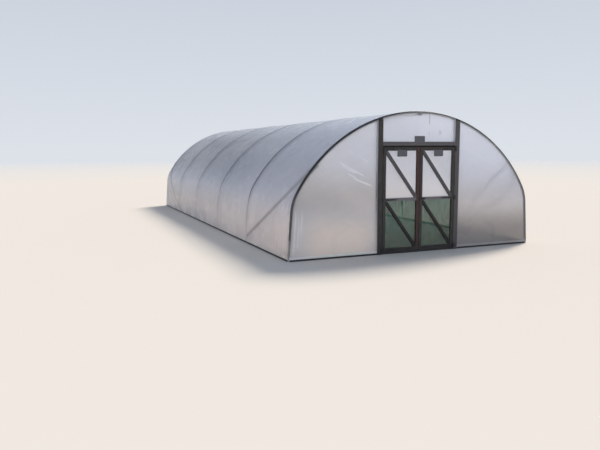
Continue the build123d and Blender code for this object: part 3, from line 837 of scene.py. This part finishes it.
# %% Build the leaves' frames
LEAF_BACK = 0.005
LEAF_LOW, LEAF_HIGH = 0.058, 2.110
STILE, DIAGONAL = 0.065, 0.06
BOTTOM_RAIL, TOP_RAIL, MIDDLE_RAIL = 0.06, 0.07, 0.06
MIDDLE = 1.081
MEETING, HINGE_EDGE = 0.004, 0.842
JOINT = 0.0003
MIDDLE_LOW, MIDDLE_HIGH = MIDDLE - MIDDLE_RAIL / 2, MIDDLE + MIDDLE_RAIL / 2
PANELS = ((LEAF_LOW + BOTTOM_RAIL, MIDDLE_LOW), (MIDDLE_HIGH, LEAF_HIGH - TOP_RAIL))


def leaf_edges(side):
    """The two upright edges of a leaf's panels, from left to right."""
    return sorted((side * (MEETING + STILE), side * (HINGE_EDGE - STILE)))


def diagonal_outline(left, right, low, high):
    """A board let into the top left and the bottom right corner of a panel."""
    wide, tall = right - left, high - low
    length = float(np.hypot(wide, tall))
    run, drop = DIAGONAL / 2 * length / tall, DIAGONAL / 2 * length / wide
    top, bottom = (left + run, high), (right - run, low)
    return [(left, high), (left, high - drop), bottom, (right, low), (right, low + drop), top]


def leaf_boards(side):
    """All boards of one leaf, each with its outline, depths and grain."""
    left, right = leaf_edges(side)
    inner = (left + JOINT, right - JOINT)
    outlines = [
        (bar(left - STILE, left, LEAF_LOW, LEAF_HIGH), UPRIGHT, PLAIN),
        (bar(right, right + STILE, LEAF_LOW, LEAF_HIGH), UPRIGHT, RED if side < 0 else PLAIN),
        (bar(*inner, LEAF_LOW, LEAF_LOW + BOTTOM_RAIL), LEVEL, PLAIN),
        (bar(*inner, MIDDLE_LOW, MIDDLE_HIGH), LEVEL, VERY_WORN),
        (bar(*inner, LEAF_HIGH - TOP_RAIL, LEAF_HIGH), LEVEL, PLAIN),
    ]
    for (low, high), tone in zip(PANELS, (DARKENED, WORN)):
        outline = diagonal_outline(*inner, low + JOINT, high - JOINT)
        outlines.append((outline, (right - left, low - high), tone))
    return [(outline, POST_FRONT, LEAF_BACK, grain, tone) for outline, grain, tone in outlines]


for corner, end, side in CORNERS:
    leaf = f"leaf_{corner}"
    end_boards(f"{leaf}_boards", end, leaf, leaf_boards(side), f"{leaf}_frame")

# %% [markdown]
# ## The doors' film and netting
# The upper panel of each leaf has film tacked to its back, and the lower one green netting that lets the
# wind through. Netting is woven from tape about 2 mm wide, every 4 mm. That is far below a pixel, so it is
# drawn as holes in a sheet, at three times the real scale to show from near by, and further off the eye
# sees a green veil.

# %% Netting material
SOIL, SOIL_LIT = "2B2E1E", "5A6544"
PITCH, TAPE = 0.012, 0.0058


def make_netting(name, dark, light, dull, lit):
    """Woven netting: tapes cross at a pitch, and the square holes between them are transparent. The tapes
    send back a dark green and let through a brighter one, both uneven in upright streaks. Soil that the
    rain has splashed up makes the lower part more olive."""
    net, add = new_material(name)
    place = add("UVMap", uv_map="metres")
    split = add("SeparateXYZ", place, out=("X", "Y"))
    covered = []
    for axis, pace in zip(split, (PITCH, PITCH * 0.6)):
        cell = add("Math DIVIDE", axis, pace)
        within = add("Math FRACT", cell)
        covered.append(add("Math LESS_THAN", within, TAPE / pace))
    solid = add("Math MAXIMUM", *covered)
    upright = add("Mapping", {"Vector": place, "Scale": (1.0, 0.16, 1.0)})
    uneven = add("TexNoise", {"Vector": upright, "Scale": 26.0, "Detail": 4.0, "Roughness": 0.65})
    uneven = add("MapRange", uneven, 0.38, 0.62)
    soil = add("MapRange", split[1], 0.85, 0.3, 0.0, 0.7)
    sent = []
    for low, high, soiled in ((dark, light, SOIL), (dull, lit, SOIL_LIT)):
        clean = add("Mix", {0: uneven, 6: low, 7: high}, **COLOURS)
        sent.append(add("Mix", {0: soil, 6: clean, 7: soiled}, **COLOURS))
    face = add("BsdfPrincipled", {"Base Color": sent[0], "Roughness": 0.55, "IOR": 1.5})
    woven = add("MixShader", 0.4, face, add("BsdfTranslucent", sent[1]))
    hole = add("BsdfTransparent", (1, 1, 1, 1))
    return finish_with(net, add("MixShader", solid, hole, woven))


netting = make_netting("woven_green_netting", "132820", "284A3D", "446D5A", "74B09A")
print("made", netting.name)

# %% Build the panels
PANEL_LAP = 0.020
PANEL_DEPTH = LEAF_BACK + 0.0018
# The panels' film is painted a little lighter; the netting doesn't read it.
PANEL_PAINTED_LIGHT = 1.08


def leaf_panel(corner, end, side, kind, panel, material, slack):
    """A sheet on the back of a leaf: flat at its tacked edges, and a little slack between them."""
    left, right = leaf_edges(side)
    low, high = panel
    x = np.linspace(left - PANEL_LAP, right + PANEL_LAP, 41)[:, None]
    z = np.linspace(low - PANEL_LAP, high + PANEL_LAP, 49)[None, :]
    across, up = (x - left) / (right - left), (z - low) / (high - low)
    free = np.sin(pi * np.clip(across, 0, 1)) * np.sin(pi * np.clip(up, 0, 1))
    seed = 50 + end * 3 + side + len(kind)
    waves = streaks(x + 0.2 * z, (0.43, 0.31, 0.19), seed)
    waves = waves + 0.6 * streaks(z - 0.15 * x, (0.61, 0.37), seed + 1)
    points = at_end(end, x, -(PANEL_DEPTH + slack * free * (0.6 + 0.4 * waves)), z)
    uv = np.stack(np.broadcast_arrays(x, z), -1)
    leaf = f"leaf_{corner}"
    piece = sheet(f"{leaf}_{kind}_sheet", points, uv, material, leaf, kind, tone=PANEL_PAINTED_LIGHT)
    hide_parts(f"{leaf}_{kind}")
    size = (right - left + 2 * PANEL_LAP, high - low + 2 * PANEL_LAP)
    return size


for place in CORNERS:
    net_size = leaf_panel(*place, "net", PANELS[0], netting, 0.003)
    film_size = leaf_panel(*place, "film", PANELS[1], door_film, 0.004)
print("netting:", np.round(net_size, 3), "film:", np.round(film_size, 3))

# %% [markdown]
# ## Steel
# The hoops are galvanised tube: hot-dipped zinc that has weathered to a dark grey, with a faint spangle of
# crystals about 10 mm across. The ground tubes are a paler grey. The
# hinges and latches are black japanned iron, a thin stoved enamel that is half glossy.
# These pieces keep the solids they came with and only take a finish.

# %% Steel materials


def make_galvanised(name, dark, light):
    """Hot-dipped zinc: flat crystals of slightly different grey, and a soft dull shine. The metal keeps
    the shader's own IOR."""
    zinc, add = new_material(name)
    place = add("TexCoord", out="Object")
    crystals = {"Vector": place, "Scale": 90.0, "Randomness": 1.0}
    grey = add("RGBToBW", add("TexVoronoi", crystals, out="Color", feature="F1"))
    dull = add("TexNoise", {"Vector": place, "Scale": 3.0, "Detail": 4.0})
    share = add("Math MULTIPLY_ADD", grey, 0.4, dull)
    share = add("MapRange", share, 0.35, 0.95)
    rough = add("MapRange", dull, *NOISE_MIDDLE, 0.42, 0.6)
    colour = add("Mix", {0: share, 6: dark, 7: light}, **COLOURS)
    settings = {"Base Color": colour, "Roughness": rough, "Metallic": 0.85}
    return finish_with(zinc, add("BsdfPrincipled", settings))


def make_japanned(name, base, worn):
    """Black stoved enamel on iron, a little brown where it has worn."""
    iron, add = new_material(name)
    place = add("TexCoord", out="Object")
    wear = add("TexNoise", {"Vector": place, "Scale": 40.0, "Detail": 6.0, "Roughness": 0.7})
    share = add("MapRange", wear, 0.56, 0.7)
    colour = add("Mix", {0: share, 6: base, 7: worn}, **COLOURS)
    rough = add("MapRange", wear, 0.0, 1.0, 0.35, 0.6)
    return finish_opaque(iron, colour, rough, 1.5, wear, 0.0003, 0.5)


def make_plain_timber(name, axis, dark, light):
    """The same stained softwood for boards that keep their solids: the grain runs along one axis."""
    wood, add = new_material(name)
    stretch = tuple(0.8 if letter == axis else 18.0 for letter in "XYZ")
    long_way = add("Mapping", {"Vector": add("TexCoord", out="Object"), "Scale": stretch})
    growth = {"Vector": long_way, "Scale": 5.0, "Detail": 6.0, "Roughness": 0.65, "Distortion": 0.4}
    rings = add("TexNoise", growth)
    share = add("MapRange", rings, *GRAIN_MIDDLE)
    colour = add("Mix", {0: share, 6: dark, 7: light}, **COLOURS)
    return finish_opaque(wood, colour, 0.8, WOOD_IOR, rings, GRAIN_DEPTH, 0.7)


galvanised = make_galvanised("weathered_galvanised_steel", "3C3F46", "62666E")
pale_zinc = make_galvanised("pale_galvanised_steel", "9DA0A4", "C2C4C7")
japanned = make_japanned("black_japanned_iron", "17181A", "3A2B22")
screw_steel = make_galvanised("bright_zinc_plated_steel", "6E7178", "A3A7AE")
rail_timber = make_plain_timber("stained_sawn_softwood_long", "Y", "2B2725", "504B47")
stop_timber = make_plain_timber("stained_sawn_softwood_upright", "Z", "24211F", "433F3B")
FINISHES = (
    (galvanised, [*HOOP_NAMES, *[f"corner_brace_{corner}" for corner, *_ in CORNERS], "ridge_tube"]),
    (pale_zinc, ["ground_tubes_left", "ground_tubes_right"]),
    (japanned, ["hinges_front", "hinges_rear", "latch_front", "latch_rear"]),
    (japanned, [f"leaf_{corner}_straps" for corner, *_ in CORNERS]),
    (rail_timber, ["base_rail_left", "base_rail_right"]),
    (stop_timber, ["door_stop_front", "door_stop_rear"]),
)
for material, names in FINISHES:
    for name in names:
        for slot in nodes[name].material_slots:
            slot.material = material
    print(material.name, "on", len(names), "solids")

# %% [markdown]
# ## Bare plates
# Three small dark plates hang at the doors' tops: one on the header and one under each top rail. They
# are moulded plastic, bare on both sides, with rounded corners and two screws each in the timber.

# %% Plastic material


def make_plastic(name, colour, paler):
    """Moulded plastic: a satin face with a fine grain, and a little dust that makes it paler in patches."""
    plastic, add = new_material(name)
    place = add("UVMap", uv_map="metres")
    grain = add("TexNoise", {"Vector": place, "Scale": 900.0, "Detail": 2.0})
    dust = add("TexNoise", {"Vector": place, "Scale": 22.0, "Detail": 4.0})
    tint = add("Mix", {0: dust, 6: colour, 7: paler}, **COLOURS)
    return finish_opaque(plastic, tint, 0.5, 1.49, grain, 0.0001, 0.6)


plate_plastic = make_plastic("moulded_grey_plastic", "4A4A50", "66666E")
print("made", plate_plastic.name)

# %% Build the plates
# The plates by side, with 0 for the header: the middle across and up, width and height.
PLATES = {
    0: (-0.018, 2.2675, 0.240, 0.120),
    -1: (-0.417, 1.9905, 0.225, 0.129),
    1: (0.436, 1.9905, 0.220, 0.129),
}
PLATE_THICK, PLATE_CORNER, PLATE_EDGE = 0.0025, 0.010, 0.0006


def rounded(width, height, radius, steps=6):
    """An anticlockwise outline of a rectangle with round corners, about its middle."""
    turns = np.arange(4) * pi / 2
    signs = np.array([(1, 1), (-1, 1), (-1, -1), (1, -1)])
    angle = np.linspace(0, pi / 2, steps + 1)[None, :] + turns[:, None]
    middle = signs * (np.array([width, height]) / 2 - radius)
    return (middle[:, None, :] + radius * np.stack([np.cos(angle), np.sin(angle)], -1)).reshape(-1, 2)


def plate(place, body, end, x, z, width, height):
    """A thin rounded board just in front of the timber, with its edges broken."""
    outline = rounded(width, height, PLATE_CORNER) + (x, z)
    back = POST_FRONT - SEAT
    points, faces, uv = board(outline, back - PLATE_THICK, back, LEVEL, PLATE_EDGE)
    corners = np.array([uv[corner] for face in faces for corner in face])
    placed = at_end(end, points[:, 0], -points[:, 1], points[:, 2])
    name = f"plate_{place}"
    return new_piece(name, placed, faces, corners, plate_plastic, body, smooth=False)


for end_name, end in ENDS:
    print(plate(f"{end_name}_over", "tunnel", end, *PLATES[0]).name)
    for corner, at, side in CORNERS:
        if at == end:
            print(plate(corner, f"leaf_{corner}", end, *PLATES[side]).name)

# %% [markdown]
# ## Screws and bolts
# The straps, hinge plates, latches and plates are held by domed screws, the rails of the leaves by
# screws through the stiles' joints, and each hoop's foot is bolted to its ground tube. One dome of a few
# faces is placed many times with array sums, and all the heads on a body are one mesh.

# %% Dome helpers
AROUND = 10


def domes(places, outward, radius, height):
    """Points and faces of domed heads: rings of a quarter circle, turned so that they face outward."""
    rise = np.linspace(0, pi / 2, 4)[:-1]
    turn = np.arange(AROUND) * 2 * pi / AROUND
    across = [np.outer(np.cos(rise), wave(turn)) for wave in (np.cos, np.sin)]
    flat = np.vstack([np.stack(across, -1).reshape(-1, 2), [0, 0]]) * radius
    up = np.append(np.repeat(np.sin(rise), AROUND), 1.0) * height
    helper = np.where(np.abs(outward[:, 2:]) < 0.9, [[0.0, 0.0, 1.0]], [[1.0, 0.0, 0.0]])
    right = np.cross(helper, outward)
    right /= np.linalg.norm(right, axis=1)[:, None]
    top = np.cross(outward, right)
    points = places[:, None] + flat[:, :1] * right[:, None] + flat[:, 1:] * top[:, None]
    points = points + up[:, None] * outward[:, None]
    around = np.arange(AROUND)
    squares = np.roll(ring_faces(3, AROUND)[:, ::-1], 1, 1)
    tips = np.stack([around, np.roll(around, -1), np.full(AROUND, AROUND)], -1) + 2 * AROUND
    faces = [around[::-1].tolist(), *squares.tolist(), *tips.tolist()]
    each = points.shape[1]
    all_faces = [[corner + each * copy for corner in face] for copy in range(len(places)) for face in faces]
    return points.reshape(-1, 3), all_faces


def heads(name, places, outward, radius, height, body):
    """One mesh of domed heads, whose UV map is their place across and up. Outward is one direction for
    all, or one for each."""
    places = np.atleast_2d(places)
    points, faces = domes(places, np.broadcast_to(outward, places.shape).astype(float), radius, height)
    uv = np.concatenate([points[face][:, [0, 2]] for face in faces])
    return new_piece(name, points, faces, uv, screw_steel, body)


print("faces of one head:", len(domes(np.zeros((1, 3)), np.array([[0, 0, 1.0]]), 1, 1)[1]))

# %% Place the screws
STRAP_FACE = 0.0433
HINGE_LINE, HINGE_PLATE_X = 0.846, 0.869
HINGE_HEIGHTS = (0.088, 1.081, 2.075)
STRAP_SCREWS, HINGE_SCREWS = (0.05, 0.16, 0.28), (-0.034, 0, 0.034)
LATCH_SCREWS_X, LATCH_SCREWS_UP = (0.0225, 0.1335), (-0.0165, 0.0165)
JOINT_SCREWS_IN, JOINT_SCREWS_UP = 0.028, (-0.017, 0.017)
PLATE_FACE, PLATE_SCREWS = -POST_FRONT + SEAT + PLATE_THICK, (-0.06, 0.06)
LEAF_PLATE_SCREW_Z, HEADER_PLATE_SCREW_Z = 2.0475, 2.2075
SCREW_KINDS = (("strap", 0.0055), ("small", 0.0028), ("joint", 0.0035))
SCREW_RISE = 0.45
HINGE_HEAD, FOOT_HEAD, CLAMP_HEAD = (0.0045, 0.002), (0.008, 0.005), (0.006, 0.004)


def leaf_screws(side):
    """Places (x, lift, z) on one leaf: along its straps, on its latch and plate, and at the rails' ends."""
    left, right = leaf_edges(side)
    strap = [(side * (HINGE_LINE - far), STRAP_FACE, z) for z in HINGE_HEIGHTS for far in STRAP_SCREWS]
    latch = [(x, STRAP_FACE, MIDDLE + up) for x in LATCH_SCREWS_X for up in LATCH_SCREWS_UP]
    bare = [(PLATES[side][0] + x, PLATE_FACE, LEAF_PLATE_SCREW_Z) for x in PLATE_SCREWS]
    rails = (LEAF_LOW + BOTTOM_RAIL / 2, MIDDLE, LEAF_HIGH - TOP_RAIL / 2)
    inner = (left if side > 0 else right) - side * JOINT_SCREWS_IN
    joints = [(inner, -POST_FRONT, z + up) for z in rails for up in JOINT_SCREWS_UP]
    return strap, (latch if side > 0 else []) + bare, joints


heights = [z + up for z in HINGE_HEIGHTS for up in HINGE_SCREWS]
fixed = [(side * HINGE_PLATE_X, STRAP_FACE, z) for side in SIDES for z in heights]
fixed += [(PLATES[0][0] + x, PLATE_FACE, HEADER_PLATE_SCREW_Z) for x in PLATE_SCREWS]
for corner, end, side in CORNERS:
    leaf = f"leaf_{corner}"
    for group, (word, size) in zip(leaf_screws(side), SCREW_KINDS):
        places = at_end(end, *np.array(group).T)
        heads(f"{leaf}_{word}_screws", places, (0, -end, 0), size, size * SCREW_RISE, leaf)
for end_name, end in ENDS:
    places = at_end(end, *np.array(fixed).T)
    heads(f"hinge_screws_{end_name}", places, (0, -end, 0), *HINGE_HEAD, "tunnel")
print("screws placed")

# %% Place the bolts of the hoops' feet
BOLT_HEIGHT = 0.5
for side, word in zip(SIDES, ("left", "right")):
    s = side * (BEND_END + (leg_top - BOLT_HEIGHT) / cos(SPLAY))
    (x, z), (out_x, out_z) = hoop_line(s)
    places = [(x - out_x * TUBE, row, z - out_z * TUBE) for row in HOOP_ROWS]
    heads(f"foot_bolts_{word}", places, (-out_x, 0, -out_z), *FOOT_HEAD, "tunnel")
print("bolts placed")

# %% [markdown]
# ## The ridge clamps
# A saddle of steel strap holds the ridge tube up against each hoop. The photograph shows the front one as
# a short dark dash through the film over the doors. A saddle is a flat strip bent along a line: level
# under the hoop, down beside the ridge tube, half round under it, and up again on the other side.

# %% Build the ridge clamps
CLAMP_THICK, CLAMP_WIDE = 0.003, 0.046
CLAMP_REACH, CLAMP_BEND, CLAMP_BOLT = 0.065, 0.004, 0.048


def under_hoop(x, below):
    """Height of a line that runs under the hoops' roof bend: a circle smaller by the tube and a distance."""
    return roof_centre + np.sqrt((ROOF_RADIUS - TUBE - JOINT - below) ** 2 - x**2)


def clamp_line():
    """The middle line (x, z) of a strap: a quarter circle under the ridge tube, a small bend outwards and
    an ear along the hoop, and the same mirrored."""
    low, high = (corner[2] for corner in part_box("ridge_tube"))
    radius = (high - low) / 2 + JOINT + CLAMP_THICK / 2
    start = radius + CLAMP_BEND
    top = float(under_hoop(start, CLAMP_THICK / 2))
    round_tube, bend = np.linspace(-pi / 2, 0, 10), np.linspace(pi, pi / 2, 6)
    ear = np.linspace(start, CLAMP_REACH, 6)[1:]
    x = np.concatenate([radius * np.cos(round_tube), start + CLAMP_BEND * np.cos(bend), ear])
    z_tube, z_bend = (low + high) / 2 + radius * np.sin(round_tube), top + CLAMP_BEND * (np.sin(bend) - 1)
    z = np.concatenate([z_tube, z_bend, under_hoop(ear, CLAMP_THICK / 2)])
    return np.concatenate([-x[:0:-1], x]), np.concatenate([z[:0:-1], z])


def strap_mesh(x, z, rows):
    """Points, faces and uv of straps: the line moved half a thickness to both sides along its normal, at
    the strap's two edges, for each row along the tunnel."""
    run = np.stack([np.gradient(x), np.gradient(z)], -1)
    run /= np.linalg.norm(run, axis=1)[:, None]
    half = np.stack([-run[:, 1], run[:, 0]], -1) * CLAMP_THICK / 2
    line = np.stack([x, z], -1)
    sides = [(half, -1), (half, 1), (-half, 1), (-half, -1)]
    ring = np.stack([np.insert(line + move, 1, edge * CLAMP_WIDE / 2, axis=1) for move, edge in sides], 1)
    points = (ring.reshape(-1, 3)[None] + np.array([[0, row, 0] for row in rows])[:, None]).reshape(-1, 3)
    n = len(x)
    faces = np.vstack([ring_faces(n, 4), np.arange(4), np.arange(4 * n)[:-5:-1]])
    faces = (faces[None] + 4 * n * np.arange(len(rows))[:, None, None]).reshape(-1, 4)
    return points, faces.tolist(), points[faces.ravel()][:, [1, 2]]


x, z = clamp_line()
points, faces, uv = strap_mesh(x, z, HOOP_ROWS)
new_piece("ridge_clamps", points, faces, uv, galvanised, "tunnel", smooth=False)
bolt_top = under_hoop(CLAMP_BOLT, CLAMP_THICK)
places = [(side * CLAMP_BOLT, row, bolt_top) for side in SIDES for row in HOOP_ROWS]
heads("ridge_clamp_bolts", places, (0, 0, -1), *CLAMP_HEAD, "tunnel")
print("clamps:", len(HOOP_ROWS), "of", len(x), "steps, as low as", round(float(points[:, 2].min()), 4), "m")

# %% [markdown]
# ## Floor and light
# The tunnel stands on a plain pale floor that fades into the background, so that no edge shows. The
# photograph has a high sun behind the right side, softened here to a studio light with a wide source,
# and an even pale sky.

# %% Stage
FLOOR_HALF = 120.0
FLOOR, HORIZON, ZENITH = "D2CCC4", "DDE2E9", "98A7BF"
FADE = (25.0, 100.0)
SUN_WAY, SUN_STRENGTH, SUN_WIDTH, SUN_COLOUR = (0.75, 0.45, 0.9), 4.2, radians(18), (1.0, 0.92, 0.82)


def make_floor_material():
    """A matt pale floor that fades out with its distance from the middle."""
    ground, add = new_material("pale_matt_floor")
    far = add("VectorMath LENGTH", add("TexCoord", out="Object"))
    fade = add("MapRange", far, *FADE)
    matt = add("BsdfDiffuse", FLOOR)
    return finish_with(ground, add("MixShader", fade, matt, add("BsdfTransparent")))


floor_mesh = bpy.data.meshes.new("floor")
corners = [(x * FLOOR_HALF, y * FLOOR_HALF, 0) for x, y in ((-1, -1), (1, -1), (1, 1), (-1, 1))]
floor_mesh.from_pydata(corners, [], [(0, 1, 2, 3)])
floor_mesh.materials.append(make_floor_material())
floor = new_object("floor", floor_mesh)

world = bpy.data.worlds.new("pale_sky")
world.use_nodes = True
add = partial(add_node, world.node_tree)
height = add("SeparateXYZ", add("TexCoord", out="Generated"), out="Z")
share = add("MapRange", height, 0.0, 0.8)
sky = add("Mix", {0: share, 6: HORIZON, 7: ZENITH}, **COLOURS)
world.node_tree.links.new(sky, world.node_tree.nodes["Background"].inputs["Color"])
bpy.context.scene.world = world

lamp = bpy.data.lights.new("sun", "SUN")
lamp.energy, lamp.angle, lamp.color = SUN_STRENGTH, SUN_WIDTH, SUN_COLOUR
sun = new_object("sun", lamp)
sun.rotation_euler = Vector(SUN_WAY).to_track_quat("Z", "Y").to_euler()
bpy.context.scene.view_settings.view_transform = "Standard"
print("stage ready")
